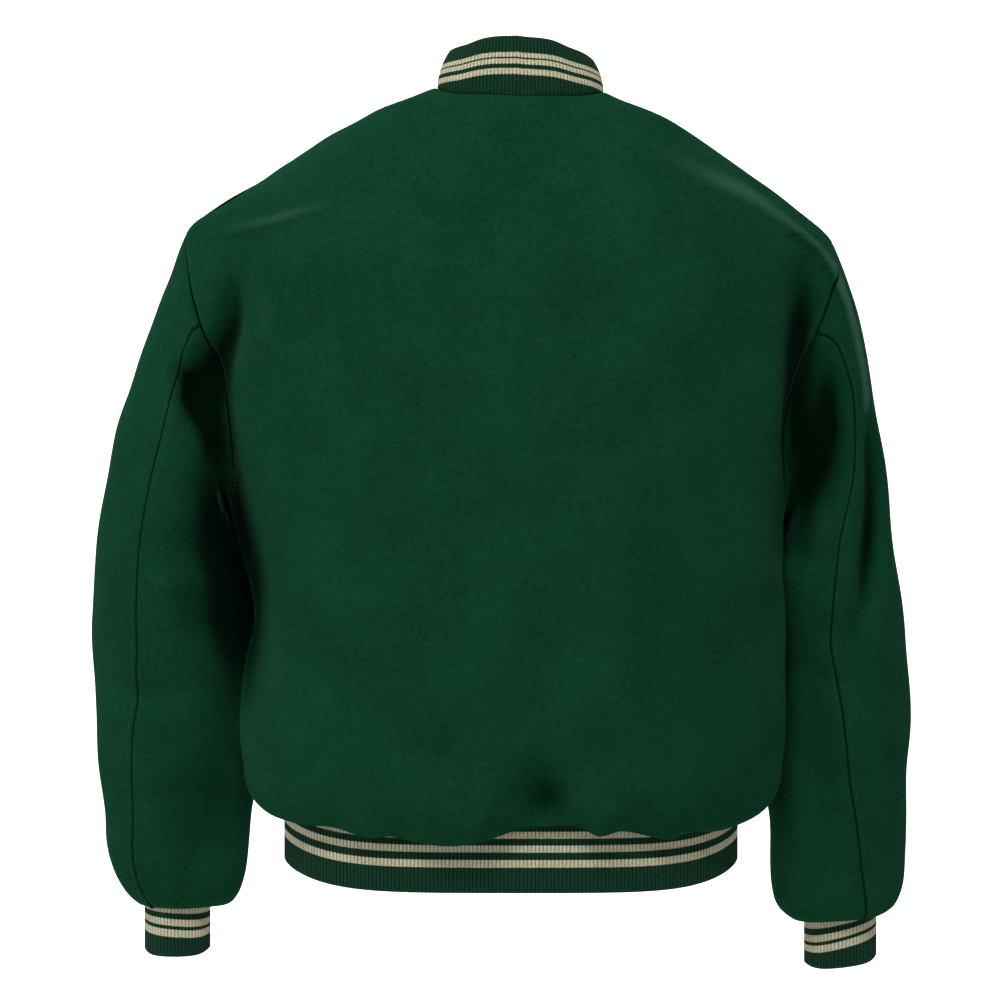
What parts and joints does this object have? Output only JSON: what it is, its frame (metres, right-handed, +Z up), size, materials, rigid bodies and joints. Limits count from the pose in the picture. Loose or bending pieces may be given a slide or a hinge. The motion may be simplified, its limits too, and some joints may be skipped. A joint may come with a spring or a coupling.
{
  "type": "varsity jacket",
  "caption": "Waist-length wool varsity jacket, filled out and hollow, with full sleeves, snap front, and striped rib knit collar, waistband and cuffs.",
  "frame": {"origin": "middle of the neck opening, at the height of the neck seam", "axes": "+Z up, +X towards the wearer's left, +Y out of the back, so the front faces -Y"},
  "size_m": [0.6862, 0.259, 0.771],
  "materials": {
    "wool": "dark green melton wool, napped and matt",
    "rib": "dark green rib knit with cream stripes",
    "snap": "satin nickel domed caps"
  },
  "bodies": {
    "root": {"back": "wool", "front_left": "wool", "front_right": "wool", "sleeve_left_top": "wool", "sleeve_left_under": "wool", "sleeve_right_top": "wool", "sleeve_right_under": "wool", "collar": "rib", "waistband": "rib", "cuff_left": "rib", "cuff_right": "rib", "snap_1": "snap", "snap_2": "snap", "snap_3": "snap", "snap_4": "snap", "snap_5": "snap", "snap_6": "snap", "snap_7": "snap"}
  },
  "joints": []
}
